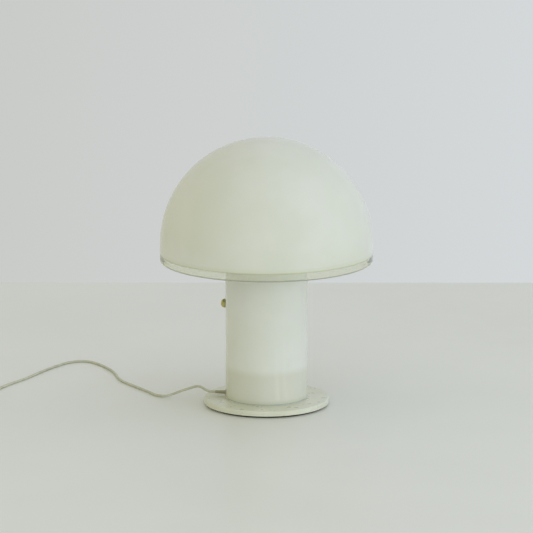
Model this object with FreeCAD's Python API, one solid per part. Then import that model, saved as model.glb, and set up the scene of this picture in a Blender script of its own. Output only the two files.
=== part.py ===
import FreeCAD, Part
import math
import os

# Mushroom table lamp: an opal glass dome on an opal glass tube, on a round painted base plate.
# All sizes are millimetres. +Z is up, the origin is on the floor under the lamp's middle,
# and the switch knob and the cord leave the lamp along -X.

Vector = FreeCAD.Vector
UP = Vector(0, 0, 1)
OUTWARD = Vector(-1, 0, 0)  # the way the knob and the cord leave the stem
CUT_MARGIN = 5.0  # how far a cutting shape reaches past the wall that it cuts

# ---- base ----
FELT_RADIUS = 95.0
FELT_THICKNESS = 3.0
FELT_HOLE_RADIUS = 21.0
PLATE_RADIUS = 100.3
PLATE_THICKNESS = 8.5
PLATE_TOP_ROUNDING = 2.6
PLATE_BOTTOM_ROUNDING = 0.8
PLATE_RECESS_RADIUS = 17.0  # hides the lowest nut and washer
PLATE_RECESS_DEPTH = 5.2
CUP_CLEARANCE = 0.7  # between the cup and the glass tube round it
CUP_SHEET = 1.2
CUP_HEIGHT = 46.0
CUP_FLOOR_BEND = 5.0
CUP_ROLL_RADIUS = 1.7  # half the thickness of the rolled upper edge

# ---- glass tube that makes the stem ----
STEM_RADIUS = 65.7
STEM_WALL = 4.0
STEM_LENGTH = 228.5
STEM_EDGE_ROUNDING = 1.2
GASKET_THICKNESS = 1.0
GASKET_SETBACK = 0.4  # how far a gasket stays inside the glass edge

# ---- cap on the stem ----
CAP_SHEET = 1.5
CAP_CLEARANCE = 0.5  # between the cap's lip and the glass
CAP_LIP_HEIGHT = 7.0
CAP_BEND = 3.0
CAP_HOLE_COUNT = 8
CAP_HOLE_RADIUS = 9.0
CAP_HOLE_CIRCLE = 42.0

# ---- threaded tube, nuts and washers ----
TUBE_RADIUS = 5.0
TUBE_BORE = 3.9
TUBE_HOLE_CLEARANCE = 0.1
TUBE_SLOT_WIDTH = 4.8
TUBE_SLOT_LENGTH = 24.0
TUBE_SLOT_ABOVE_CUP = 20.0
TUBE_END_ABOVE_NUT_BOTTOM = 0.1
TUBE_END_BELOW_NECK = 1.0
NUT_ACROSS_FLATS = 14.0
NUT_HEIGHT = 3.5
WASHER_THICKNESS = 1.2
WASHER_RADIUS = 12.0
TOP_WASHER_RADIUS = 9.0

# ---- wire carrier of the shade ----
HUB_RADIUS = 20.0
HUB_THICKNESS = 6.0
ARM_COUNT = 3
FIRST_ARM_ANGLE = 90.0
WIRE_RADIUS = 2.5
WIRE_START = 10.5
WELD_DEPTH = 0.7
BEND_RADIUS = 12.0
SKIRT_CLEARANCE = 0.5  # between an arm's bend and the glass skirt that it centres
TIP_ANGLE = 22.0  # where the arms touch the dome, above the dome's middle
SLEEVE_WALL = 1.5
SLEEVE_LENGTH = 15.0
SEAT_GAP = 0.3  # between a sleeve and the dome that rests on it

# ---- glass shade ----
DOME_RADIUS = 170.0
DOME_WALL = 4.0
SKIRT_HEIGHT = 27.2
DOME_ABOVE_ARMS = 11.4  # the dome's middle above the arms
RIM_BEAD_RADIUS = 2.6  # polished bead that ends the clear band

# ---- lamp holder and bulb ----
HOLDER_RADIUS = 19.5
HOLDER_WALL = 1.8
HOLDER_CAP_HEIGHT = 22.0
HOLDER_CAP_CURVE = 9.0
HOLDER_CAP_ROUNDING = 3.0
HOLDER_NECK_RADIUS = 8.0
HOLDER_NECK_HEIGHT = 9.0
HOLDER_SHELL_HEIGHT = 38.0
HOLDER_MOUTH_RADIUS = 16.0
HOLDER_EDGE_LAND = 0.3  # flat left beside the rounded edge of the mouth
INSERT_HEIGHT = 9.0
INSERT_CLEARANCE = 0.1
SCREW_SHELL_RADIUS = 13.3  # inside of the brass screw shell
SCREW_SHELL_WALL = 0.5
SCREW_SHELL_HEIGHT = 22.0
SCREW_SHELL_SEAT_DEPTH = 2.0
CONTACT_HEIGHT = 2.5
CONTACT_LENGTH = 12.0
CONTACT_WIDTH = 5.0
CONTACT_SHEET = 0.6
CONTACT_BUTTON_RADIUS = 2.4
CONTACT_BUTTON_TOP_RADIUS = 1.6
BULB_TIP_RADIUS = 4.5
BULB_TIP_HEIGHT = 5.0
BULB_INSULATOR_RADIUS = 10.5
BULB_CAP_RADIUS = 13.2
BULB_CAP_HEIGHT = 26.0
BULB_CAP_FLOOR = 1.0
BULB_LENGTH = 106.0
BULB_RADIUS = 30.0
BULB_JOIN_ANGLE = -32.0  # where the bulb's ball runs out into its neck
BULB_NECK_RADIUS = 12.0
BULB_NECK_CLEARANCE = 0.1
BULB_NECK_DEPTH = 8.0  # how far the glass neck reaches into the bulb cap
BULB_NECK_RISE = 6.0  # straight neck above the bulb cap
BULB_NECK_PULL = 12.0  # how long the flare holds each of its two directions
BULB_GLASS_WALL = 0.9

# ---- rotary switch in the stem wall ----
SWITCH_HEIGHT = 163.0
SWITCH_BODY_RADIUS = 11.0
SWITCH_BODY_LENGTH = 20.0
SWITCH_STEP_RADIUS = 8.5
SWITCH_STEP_LENGTH = 4.0
SWITCH_HOLE_RADIUS = 5.3
BUSHING_RADIUS = 4.9
SWITCH_GASKET_THICKNESS = 0.6
SWITCH_GASKET_RADIUS = 6.8
SWITCH_GASKET_CLEARANCE = 0.1
SWITCH_NUT_RADIUS = 5.9
SWITCH_NUT_HEIGHT = 2.0
SHAFT_RADIUS = 2.0
SHAFT_CLEARANCE = 0.05
SHAFT_DEPTH = 12.0  # how far the shaft goes into the switch body
SHAFT_END_CLEARANCE = 0.5
KNOB_RADIUS = 7.25
KNOB_LENGTH = 6.9
KNOB_ROUNDING = 6.2
KNOB_GAP = 0.5  # between the knob and the nut that it covers
KNOB_SKIRT = 1.6  # how far the knob reaches over the nut
KNOB_END_WALL = 1.4
KNOB_SCREW_RADIUS = 1.25
KNOB_SCREW_LENGTH = 3.2

# ---- cord entry and wiring ----
CORD_DIAMETER = 4.0
CORD_ABOVE_PLATE = 4.6
BUSH_WALL = 1.25
BUSH_CLEARANCE = 0.1
BUSH_INNER_REACH = 3.0  # how far the cord bush reaches in past the glass
BUSH_FLANGE_RADIUS = 4.0
BUSH_FLANGE_THICKNESS = 1.3
RELIEF_LENGTH = 16.0  # the slim tail outside the flange that keeps the cord from kinking
RELIEF_RADIUS = 2.9
RELIEF_END_RADIUS = 2.35
CLAMP_LENGTH = 9.0
CLAMP_WIDTH = 22.0
CLAMP_TOP_WALL = 2.2
CLAMP_ROUNDING = 2.0
CLAMP_TO_CUP = 5.3  # free space between the clamp and the cup's wall
CLAMP_SCREW_SPACING = 14.0
SCREW_RADIUS = 1.5
SCREW_CLEARANCE = 0.1
SCREW_HEAD_RADIUS = 2.9
SCREW_HEAD_HEIGHT = 1.9
SCREW_HEAD_ROUNDING = 0.8
SCREW_DEPTH = 3.5  # how far a clamp screw goes into the base plate
BLOCK_LENGTH = 15.0
BLOCK_TO_CLAMP = 6.0  # free space between the terminal block and the clamp
BLOCK_POLES = 3
BLOCK_POLE_PITCH = 6.5
BLOCK_END_WALL = 0.75
BLOCK_HEIGHT = 12.0
BLOCK_GROOVE_WIDTH = 1.0
BLOCK_GROOVE_DEPTH = 2.5
BLOCK_SCREW_RADIUS = 1.4
BLOCK_SCREW_HEIGHT = 2.2
BLOCK_SCREW_SINK = 1.5  # how far a terminal screw lies below the block's top
HOLDER_LEAD_RADIUS = 1.5
HOLDER_LEAD_TURN = 11.5  # from the terminal block to where the lead turns up
HOLDER_LEAD_RISE = 33.0  # from there up to the middle of the tube
SWITCH_LEAD_RADIUS = 0.95
SWITCH_LEAD_TURN = 7.5  # from the terminal block to where the leads turn up
SWITCH_LEAD_SPREAD = 8.0
SWITCH_LEAD_LOW_BEND = 60.0  # height
SWITCH_LEAD_HIGH_BEND = 40.0  # below the switch
SWITCH_LEAD_HIGH_TURN = 18.1  # from the switch's back to where the leads leave the upright run
SWITCH_LEAD_TOP_TURN = 15.1  # from the switch's back to where the leads turn towards it
SWITCH_TAG_SPREAD = 4.5

# ---- cord outside the lamp: the stretch that lies free, by hand ----
CORD_ROUTE = [
    (-91.0, 0.0, 16.1),
    (-98.9, 2.1, 17.9),
    (-105.4, 6.9, 20.2),
    (-111.0, 14.4, 20.8),
    (-119.6, 20.6, 18.5),
    (-130.8, 23.2, 14.3),
    (-145.5, 18.8, 9.5),
    (-158.2, 12.1, 5.2),
    (-170.1, 12.7, 2.5),
    (-186.3, 22.2, 2.0),
    (-203.1, 46.0, 2.0),
    (-234.0, 81.0, 2.0),
    (-261.5, 114.0, 2.0),
    (-279.0, 168.0, 2.0),
    (-311.0, 216.0, 2.0),
    (-340.0, 240.5, 2.0),
    (-367.5, 227.0, 2.0),
    (-385.0, 190.5, 2.0),
    (-402.0, 146.0, 2.0),
    (-416.5, 97.5, 2.0),
    (-436.5, 57.5, 2.0),
]

# ---- cord outside the lamp: the coil, its tie and the plug ----
COIL_ENTRY_X = -449.5
COIL_ENTRY_Y = -16.0
COIL_LEAD = 25.0  # straight run of the cord into the coil
COIL_PITCH = 4.7  # from one turn to the next, and from one layer to the next
COIL_OUTER_RADIUS = 31.6
COIL_LAYER_TURNS = 3.25
COIL_CLIMB_SLOPE = 0.75  # of a layer's height, gained per quarter turn halfway up the climb
COIL_END_DROP_LENGTH = 18.0
TIE_WIDTH = 7.0
TIE_THICKNESS = 0.8
TIE_GAP = 0.3
TIE_ROUNDING = 1.4
TIE_TAB_LENGTH = 9.0
PLUG_WIDTH = 35.3
PLUG_THICKNESS = 13.7
PLUG_FRONT_LENGTH = 17.0
PLUG_LENGTH = 36.0
PLUG_REAR_WIDTH = 14.0
PLUG_WAIST_INSET = 2.5
PLUG_ROUNDING = 2.4
PLUG_SHOULDER_ROUNDING = 4.0
PLUG_RELIEF_LENGTH = 13.0
PLUG_RELIEF_RADIUS = 3.9
PLUG_RELIEF_END_RADIUS = 2.5
PIN_RADIUS = 2.0
PIN_LENGTH = 19.0
PIN_TIP_ROUNDING = 1.2
PIN_SPACING = 18.6
PIN_NECK_RADIUS = 1.6
PIN_SLEEVE_LENGTH = 10.0
PIN_SLEEVE_GAP = 0.05

# ---- heights and radii that follow from the sizes above ----
plate_bottom = FELT_THICKNESS
plate_top = plate_bottom + PLATE_THICKNESS
cup_floor_top = plate_top + CUP_SHEET
stem_bottom = plate_top + GASKET_THICKNESS
stem_top = stem_bottom + STEM_LENGTH
stem_bore = STEM_RADIUS - STEM_WALL
cup_radius = stem_bore - CUP_CLEARANCE
cup_inside = cup_radius - CUP_SHEET
cap_bottom = stem_top + GASKET_THICKNESS
cap_top = cap_bottom + CAP_SHEET
hub_top = cap_top + HUB_THICKNESS
holder_bottom = hub_top + WASHER_THICKNESS + NUT_HEIGHT
holder_joint = holder_bottom + HOLDER_CAP_HEIGHT
insert_bottom = holder_joint - INSERT_HEIGHT / 2
tube_hole = TUBE_RADIUS + TUBE_HOLE_CLEARANCE
arm_height = hub_top + WIRE_RADIUS - WELD_DEPTH
dome_middle = arm_height + DOME_ABOVE_ARMS
rim_bottom = dome_middle - SKIRT_HEIGHT
dome_bore = DOME_RADIUS - DOME_WALL
cord_radius = CORD_DIAMETER / 2
cord_height = plate_top + CORD_ABOVE_PLATE
bush_radius = cord_radius + BUSH_WALL
bush_end = STEM_RADIUS + BUSH_FLANGE_THICKNESS + RELIEF_LENGTH
clamp_far = cup_inside - CLAMP_TO_CUP
clamp_near = clamp_far - CLAMP_LENGTH
clamp_middle = (clamp_near + clamp_far) / 2
block_back = clamp_near - BLOCK_TO_CLAMP
block_front = block_back - BLOCK_LENGTH
switch_face = stem_bore - SWITCH_GASKET_THICKNESS - SWITCH_BODY_RADIUS**2 / (2 * stem_bore)
switch_back = switch_face - SWITCH_BODY_LENGTH
switch_nut_bottom = STEM_RADIUS + SWITCH_GASKET_THICKNESS
switch_nut_top = switch_nut_bottom + SWITCH_NUT_HEIGHT
knob_back = switch_nut_top - KNOB_SKIRT
knob_front = knob_back + KNOB_LENGTH
coil_floor = TIE_THICKNESS + TIE_GAP + cord_radius
plug_axis_height = PLUG_THICKNESS / 2


# ---- shapes that several pieces use ----
def face_from(edges):
    return Part.Face(Part.Wire(edges))


def line(start, end):
    return Part.LineSegment(start, end).toShape()


def arc(start, middle, end):
    return Part.Arc(start, middle, end).toShape()


def outline(points):
    """A closed face of straight sides through points of the XZ plane, given as (radius, height)."""
    corners = [Vector(radius, 0, height) for radius, height in points]
    return Part.Face(Part.makePolygon(corners + corners[:1]))


def turned(face, axis_point=Vector(0, 0, 0), axis=UP):
    return face.revolve(axis_point, axis, 360)


def ring(inner, outer, bottom, top):
    tube = Part.makeCylinder(outer, top - bottom, Vector(0, 0, bottom))
    return tube.cut(Part.makeCylinder(inner, top - bottom, Vector(0, 0, bottom)))


def rod(radius, start, end, height, y=0.0, direction=OUTWARD):
    """A round bar along the knob or cord direction, between two distances from the lamp's axis."""
    return Part.makeCylinder(radius, end - start, direction * start + Vector(0, y, height), direction)


def edges_at(shape, height, radius):
    """The round edges of a turned shape that lie at one height and have one radius."""
    found = []
    for edge in shape.Edges:
        box = edge.BoundBox
        level = abs(box.ZMin - height) < 1e-4 and abs(box.ZMax - height) < 1e-4
        if level and abs(box.XLength / 2 - radius) < 1e-3:
            found.append(edge)
    return found


def around(shape, count, first_angle=0.0):
    """Copies of a shape turned about the lamp's axis."""
    copies = []
    for index in range(count):
        copy = shape.copy()
        copy.rotate(Vector(0, 0, 0), UP, first_angle + 360.0 * index / count)
        copies.append(copy)
    return copies


def rounded_path(points, name):
    """Straight runs joined by tangent arcs, each as large as its two runs allow."""
    corners = [Vector(*point) for point in points]
    edges = []
    radii = []
    last = corners[0]
    for before, corner, after in zip(corners, corners[1:], corners[2:]):
        inward = corner - before
        onward = after - corner
        tangent_length = 0.45 * min(inward.Length, onward.Length)
        half_turn = inward.getAngle(onward) / 2
        radius = tangent_length / math.tan(half_turn)
        inward.normalize()
        onward.normalize()
        towards_centre = onward - inward
        towards_centre.normalize()
        start = corner - inward * tangent_length
        end = corner + onward * tangent_length
        middle = corner + towards_centre * radius * (1 / math.cos(half_turn) - 1)
        edges.append(line(last, start))
        edges.append(arc(start, middle, end))
        radii.append(radius)
        last = end
    edges.append(line(last, corners[-1]))
    print(name, "bend radii", [round(radius, 1) for radius in radii])
    return Part.Wire(edges)


def swept(path, radius, direction, name):
    """A round bar along a path. Its volume is printed beside its section times its length."""
    start = path.OrderedVertexes[0].Point
    section = Part.Wire([Part.makeCircle(radius, start, direction)])
    bar = path.makePipeShell([section], True, False)
    expected = math.pi * radius**2 * path.Length
    print(name, "length", round(path.Length, 1), "volume share", round(bar.Volume / expected, 4))
    return bar


def biarc(start, start_way, end, end_way):
    """Two tangent arcs that leave one point and reach another in given directions."""
    span = end - start
    ways = start_way + end_way
    slack = 2 * (1 - start_way.dot(end_way))
    across = span.dot(ways)
    if slack < 1e-9:
        reach = span.dot(span) / (4 * span.dot(end_way))
    else:
        reach = (math.sqrt(across**2 + slack * span.dot(span)) - across) / slack
    joint = (start + end + (start_way - end_way) * reach) * 0.5
    edges = []
    for first, second, corner in (
        (start, joint, start + start_way * reach),
        (joint, end, end - end_way * reach),
    ):
        chord_middle = (first + second) * 0.5
        half_chord = (second - first).Length / 2
        half_angle = math.acos(min(1.0, half_chord / reach))
        towards_corner = corner - chord_middle
        share = math.tan(half_angle / 2) / math.tan(half_angle)
        edges.append(arc(first, chord_middle + towards_corner * share, second))
    return edges


# ---- base ----
def base_pieces():
    felt = ring(FELT_HOLE_RADIUS, FELT_RADIUS, 0, FELT_THICKNESS)

    plate = ring(tube_hole, PLATE_RADIUS, plate_bottom, plate_top)
    plate = plate.makeFillet(PLATE_TOP_ROUNDING, edges_at(plate, plate_top, PLATE_RADIUS))
    plate = plate.makeFillet(PLATE_BOTTOM_ROUNDING, edges_at(plate, plate_bottom, PLATE_RADIUS))
    recess = Part.makeCylinder(PLATE_RECESS_RADIUS, PLATE_RECESS_DEPTH, Vector(0, 0, plate_bottom))
    plate = plate.cut(recess)

    cup_top = plate_top + CUP_HEIGHT
    roll_middle = cup_radius - CUP_ROLL_RADIUS
    cup = turned(outline([
        (tube_hole, plate_top),
        (cup_radius, plate_top),
        (cup_radius, cup_top - CUP_ROLL_RADIUS),
        (cup_inside, cup_top - CUP_ROLL_RADIUS),
        (cup_inside, cup_floor_top),
        (tube_hole, cup_floor_top),
    ]))
    cup = cup.makeFillet(CUP_FLOOR_BEND, edges_at(cup, plate_top, cup_radius))
    cup = cup.makeFillet(CUP_FLOOR_BEND - CUP_SHEET, edges_at(cup, cup_floor_top, cup_inside))
    roll = Part.makeTorus(roll_middle, CUP_ROLL_RADIUS, Vector(0, 0, cup_top - CUP_ROLL_RADIUS))
    cup = cup.fuse(roll).removeSplitter()
    cord_hole = rod(
        bush_radius + BUSH_CLEARANCE, cup_inside - CUT_MARGIN, cup_radius + CUT_MARGIN, cord_height
    )
    cup = cup.cut(cord_hole)

    for y in (-CLAMP_SCREW_SPACING / 2, CLAMP_SCREW_SPACING / 2):
        hole = Part.makeCylinder(
            SCREW_RADIUS + SCREW_CLEARANCE,
            SCREW_DEPTH + CUP_SHEET,
            Vector(-clamp_middle, y, plate_top - SCREW_DEPTH),
        )
        cup = cup.cut(hole)
        plate = plate.cut(hole)

    gasket_outside = STEM_RADIUS - GASKET_SETBACK
    gasket_inside = stem_bore + GASKET_SETBACK
    gasket = ring(gasket_inside, gasket_outside, plate_top, stem_bottom)
    return {"felt_pad": felt, "base_plate": plate, "base_cup": cup, "stem_gasket": gasket}


# ---- stem ----
def stem_pieces():
    glass = ring(stem_bore, STEM_RADIUS, stem_bottom, stem_top)
    edges = []
    for height in (stem_bottom, stem_top):
        for radius in (stem_bore, STEM_RADIUS):
            edges += edges_at(glass, height, radius)
    glass = glass.makeFillet(STEM_EDGE_ROUNDING, edges)
    cut_start = stem_bore - CUT_MARGIN
    cut_end = STEM_RADIUS + CUT_MARGIN
    glass = glass.cut(rod(SWITCH_HOLE_RADIUS, cut_start, cut_end, SWITCH_HEIGHT))
    notch_radius = bush_radius + BUSH_CLEARANCE
    notch = rod(notch_radius, cut_start, cut_end, cord_height)
    notch_legs = Part.makeBox(
        cut_end - cut_start,
        2 * notch_radius,
        cord_height - stem_bottom + CUT_MARGIN,
        Vector(-cut_end, -notch_radius, stem_bottom - CUT_MARGIN),
    )
    glass = glass.cut(notch.fuse(notch_legs))

    gasket = ring(stem_bore + GASKET_SETBACK, STEM_RADIUS - GASKET_SETBACK, stem_top, cap_bottom)

    lip_inside = STEM_RADIUS + CAP_CLEARANCE
    lip_outside = lip_inside + CAP_SHEET
    lip_bottom = cap_bottom - CAP_LIP_HEIGHT
    cap = turned(outline([
        (tube_hole, cap_bottom),
        (lip_inside, cap_bottom),
        (lip_inside, lip_bottom),
        (lip_outside, lip_bottom),
        (lip_outside, cap_top),
        (tube_hole, cap_top),
    ]))
    cap = cap.makeFillet(CAP_BEND, edges_at(cap, cap_top, lip_outside))
    hole_start = Vector(CAP_HOLE_CIRCLE, 0, cap_bottom - CUT_MARGIN)
    hole = Part.makeCylinder(CAP_HOLE_RADIUS, CAP_SHEET + 2 * CUT_MARGIN, hole_start)
    cap = cap.cut(around(hole, CAP_HOLE_COUNT, 180.0 / CAP_HOLE_COUNT))
    return {"glass_stem": glass, "stem_top_gasket": gasket, "stem_cap": cap}


# ---- threaded tube that clamps the lamp together ----
def hex_nut(bottom):
    corner_radius = NUT_ACROSS_FLATS / math.sqrt(3)
    corners = []
    for index in range(7):
        angle = math.radians(60 * index)
        corners.append(Vector(corner_radius * math.cos(angle), corner_radius * math.sin(angle), bottom))
    blank = Part.Face(Part.makePolygon(corners)).extrude(Vector(0, 0, NUT_HEIGHT))
    chamfer = corner_radius - NUT_ACROSS_FLATS / 2
    dome = turned(outline([
        (0, bottom),
        (corner_radius, bottom),
        (corner_radius, bottom + NUT_HEIGHT - chamfer),
        (corner_radius - 2 * chamfer, bottom + NUT_HEIGHT),
        (0, bottom + NUT_HEIGHT),
    ]))
    bore = Part.makeCylinder(tube_hole, NUT_HEIGHT, Vector(0, 0, bottom))
    return blank.common(dome).cut(bore)


def column_pieces():
    lowest_washer = plate_bottom + PLATE_RECESS_DEPTH - WASHER_THICKNESS
    lowest_nut = lowest_washer - NUT_HEIGHT
    cup_nut = cup_floor_top + WASHER_THICKNESS
    top_nut = hub_top + WASHER_THICKNESS
    nuts = [hex_nut(lowest_nut), hex_nut(cup_nut), hex_nut(top_nut)]
    washers = [
        ring(tube_hole, WASHER_RADIUS, lowest_washer, lowest_washer + WASHER_THICKNESS),
        ring(tube_hole, WASHER_RADIUS, cup_floor_top, cup_nut),
        ring(tube_hole, TOP_WASHER_RADIUS, hub_top, top_nut),
    ]
    tube_bottom = lowest_nut + TUBE_END_ABOVE_NUT_BOTTOM
    tube_top = holder_bottom + HOLDER_NECK_HEIGHT - TUBE_END_BELOW_NECK
    tube = ring(TUBE_BORE, TUBE_RADIUS, tube_bottom, tube_top)
    half_width = TUBE_SLOT_WIDTH / 2
    slot_start = TUBE_BORE / 2
    slot_end = TUBE_RADIUS + CUT_MARGIN
    slot_low = cup_floor_top + TUBE_SLOT_ABOVE_CUP + half_width
    slot_high = slot_low + TUBE_SLOT_LENGTH - TUBE_SLOT_WIDTH
    slot = Part.makeBox(
        slot_end - slot_start,
        TUBE_SLOT_WIDTH,
        slot_high - slot_low,
        Vector(-slot_end, -half_width, slot_low),
    )
    for height in (slot_low, slot_high):
        slot = slot.fuse(rod(half_width, slot_start, slot_end, height))
    return {
        "center_tube": tube.cut(slot),
        "tube_nuts": Part.makeCompound(nuts),
        "tube_washers": Part.makeCompound(washers),
    }


# ---- wire carrier that the shade rests on ----
def carrier_pieces():
    sleeve_radius = WIRE_RADIUS + SLEEVE_WALL
    tip_distance = dome_bore - sleeve_radius - SEAT_GAP
    tip_angle = math.radians(TIP_ANGLE)
    tip = Vector(tip_distance * math.cos(tip_angle), 0, dome_middle + tip_distance * math.sin(tip_angle))
    bend_centre = Vector(
        dome_bore - SKIRT_CLEARANCE - WIRE_RADIUS - BEND_RADIUS, 0, arm_height + BEND_RADIUS
    )
    to_tip = tip - bend_centre
    bend_end_angle = math.atan2(to_tip.z, to_tip.x) - math.acos(BEND_RADIUS / to_tip.Length)
    bend_middle_angle = (bend_end_angle - math.pi / 2) / 2

    def on_bend(angle):
        return bend_centre + Vector(math.cos(angle), 0, math.sin(angle)) * BEND_RADIUS

    bend_start = on_bend(-math.pi / 2)
    bend_end = on_bend(bend_end_angle)
    path = Part.Wire([
        line(Vector(WIRE_START, 0, arm_height), bend_start),
        arc(bend_start, on_bend(bend_middle_angle), bend_end),
        line(bend_end, tip),
    ])
    arm = swept(path, WIRE_RADIUS, Vector(1, 0, 0), "carrier arm")
    hub = ring(tube_hole, HUB_RADIUS, cap_top, hub_top)
    carrier = hub.fuse(around(arm, ARM_COUNT, FIRST_ARM_ANGLE)).removeSplitter()

    along = tip - bend_end
    along.normalize()
    sleeve_start = tip - along * SLEEVE_LENGTH
    sleeve = Part.makeCylinder(sleeve_radius, SLEEVE_LENGTH, sleeve_start, along)
    sleeve = sleeve.fuse(Part.makeSphere(sleeve_radius, tip)).removeSplitter()
    sleeve = sleeve.cut(Part.makeCylinder(WIRE_RADIUS, SLEEVE_LENGTH, sleeve_start, along))
    sleeves = around(sleeve, ARM_COUNT, FIRST_ARM_ANGLE)
    return {"shade_carrier": carrier, "carrier_sleeves": Part.makeCompound(sleeves)}


# ---- glass shade ----
def shade_pieces():
    def on_dome(radius, degrees):
        angle = math.radians(degrees)
        return Vector(radius * math.cos(angle), 0, dome_middle + radius * math.sin(angle))

    bead_middle = Vector(DOME_RADIUS - RIM_BEAD_RADIUS, 0, rim_bottom + RIM_BEAD_RADIUS)
    outer_foot = bead_middle + Vector(RIM_BEAD_RADIUS, 0, 0)
    bead_inside = bead_middle - Vector(RIM_BEAD_RADIUS, 0, 0)
    bead_bottom = bead_middle - Vector(0, 0, RIM_BEAD_RADIUS)
    neck_rise = 2 * RIM_BEAD_RADIUS
    inner_foot = Vector(dome_bore, 0, bead_middle.z + neck_rise)
    profile = face_from([
        arc(on_dome(DOME_RADIUS, 90), on_dome(DOME_RADIUS, 45), on_dome(DOME_RADIUS, 0)),
        line(on_dome(DOME_RADIUS, 0), outer_foot),
        arc(outer_foot, bead_bottom, bead_inside),
        line(bead_inside, inner_foot),
        line(inner_foot, on_dome(dome_bore, 0)),
        arc(on_dome(dome_bore, 0), on_dome(dome_bore, 45), on_dome(dome_bore, 90)),
        line(on_dome(dome_bore, 90), on_dome(DOME_RADIUS, 90)),
    ])
    return {"glass_shade": turned(profile)}


# ---- lamp holder and bulb ----
def holder_pieces():
    cap_outer = outline([
        (TUBE_RADIUS, holder_bottom),
        (HOLDER_NECK_RADIUS, holder_bottom),
        (HOLDER_RADIUS, holder_bottom + HOLDER_CAP_CURVE),
        (HOLDER_RADIUS, holder_joint),
        (HOLDER_RADIUS - HOLDER_WALL, holder_joint),
        (HOLDER_RADIUS - HOLDER_WALL, holder_bottom + HOLDER_CAP_CURVE + HOLDER_WALL),
        (HOLDER_NECK_RADIUS, holder_bottom + HOLDER_NECK_HEIGHT),
        (TUBE_RADIUS, holder_bottom + HOLDER_NECK_HEIGHT),
    ])
    cap = turned(cap_outer)
    cap_shoulder = edges_at(cap, holder_bottom + HOLDER_CAP_CURVE, HOLDER_RADIUS)
    cap = cap.makeFillet(HOLDER_CAP_ROUNDING, cap_shoulder)

    shell_top = holder_joint + HOLDER_SHELL_HEIGHT
    shell = turned(outline([
        (HOLDER_RADIUS - HOLDER_WALL, holder_joint),
        (HOLDER_RADIUS, holder_joint),
        (HOLDER_RADIUS, shell_top),
        (HOLDER_MOUTH_RADIUS, shell_top),
        (HOLDER_MOUTH_RADIUS, shell_top - HOLDER_WALL),
        (HOLDER_RADIUS - HOLDER_WALL, shell_top - HOLDER_WALL),
    ]))
    shell = shell.makeFillet(HOLDER_WALL - HOLDER_EDGE_LAND, edges_at(shell, shell_top, HOLDER_RADIUS))

    insert_radius = HOLDER_RADIUS - HOLDER_WALL - INSERT_CLEARANCE
    insert_top = insert_bottom + INSERT_HEIGHT
    insert = Part.makeCylinder(insert_radius, INSERT_HEIGHT, Vector(0, 0, insert_bottom))
    screw_outside = SCREW_SHELL_RADIUS + SCREW_SHELL_WALL
    screw_bottom = insert_top - SCREW_SHELL_SEAT_DEPTH
    insert = insert.cut(ring(SCREW_SHELL_RADIUS, screw_outside, screw_bottom, insert_top))
    screw_shell = ring(SCREW_SHELL_RADIUS, screw_outside, screw_bottom, screw_bottom + SCREW_SHELL_HEIGHT)

    tongue_corner = Vector(-CONTACT_LENGTH / 2, -CONTACT_WIDTH / 2, insert_top)
    tongue = Part.makeBox(CONTACT_LENGTH, CONTACT_WIDTH, CONTACT_SHEET, tongue_corner)
    button = Part.makeCone(
        CONTACT_BUTTON_RADIUS,
        CONTACT_BUTTON_TOP_RADIUS,
        CONTACT_HEIGHT - CONTACT_SHEET,
        Vector(0, 0, insert_top + CONTACT_SHEET),
    )
    contact = tongue.fuse(button).removeSplitter()

    bulb_bottom = insert_top + CONTACT_HEIGHT
    cap_start = bulb_bottom + BULB_TIP_HEIGHT
    cap_end = bulb_bottom + BULB_CAP_HEIGHT
    bulb_cap = turned(outline([
        (0, bulb_bottom),
        (BULB_TIP_RADIUS, bulb_bottom),
        (BULB_INSULATOR_RADIUS, cap_start),
        (BULB_CAP_RADIUS, cap_start),
        (BULB_CAP_RADIUS, cap_end),
        (BULB_NECK_RADIUS, cap_end),
        (BULB_NECK_RADIUS, cap_start + BULB_CAP_FLOOR),
        (0, cap_start + BULB_CAP_FLOOR),
    ]))

    bulb_top = bulb_bottom + BULB_LENGTH
    bulb_middle = bulb_top - BULB_RADIUS
    wall = BULB_GLASS_WALL
    neck_outside = BULB_NECK_RADIUS - BULB_NECK_CLEARANCE
    neck_bottom = cap_end - BULB_NECK_DEPTH

    def envelope(ball_radius, neck_radius):
        """The outline of a pear-shaped bulb from its top down to its neck."""
        def on_ball(degrees):
            angle = math.radians(degrees)
            return Vector(ball_radius * math.cos(angle), 0, bulb_middle + ball_radius * math.sin(angle))

        join = on_ball(BULB_JOIN_ANGLE)
        neck_top = Vector(neck_radius, 0, cap_end + BULB_NECK_RISE)
        turn = math.radians(BULB_JOIN_ANGLE)
        fall = Vector(math.sin(turn), 0, -math.cos(turn))
        flare = Part.BezierCurve()
        flare.setPoles([join, join + fall * BULB_NECK_PULL, neck_top + UP * BULB_NECK_PULL, neck_top])
        return [
            arc(on_ball(90), on_ball(45), on_ball(0)),
            arc(on_ball(0), on_ball(BULB_JOIN_ANGLE / 2), join),
            flare.toShape(),
            line(neck_top, Vector(neck_radius, 0, neck_bottom)),
        ]

    outside = envelope(BULB_RADIUS, neck_outside)
    inside = envelope(BULB_RADIUS - wall, neck_outside - wall)
    closing = [
        line(Vector(neck_outside, 0, neck_bottom), Vector(neck_outside - wall, 0, neck_bottom)),
        line(Vector(0, 0, bulb_top - wall), Vector(0, 0, bulb_top)),
    ]
    bulb_glass = turned(Part.Face(Part.Wire(Part.__sortEdges__(outside + inside + closing))))
    return {
        "holder_cap": cap,
        "holder_shell": shell,
        "holder_insert": insert,
        "holder_screw_shell": screw_shell,
        "holder_contact": contact,
        "bulb_cap": bulb_cap,
        "bulb_glass": bulb_glass,
    }


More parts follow.
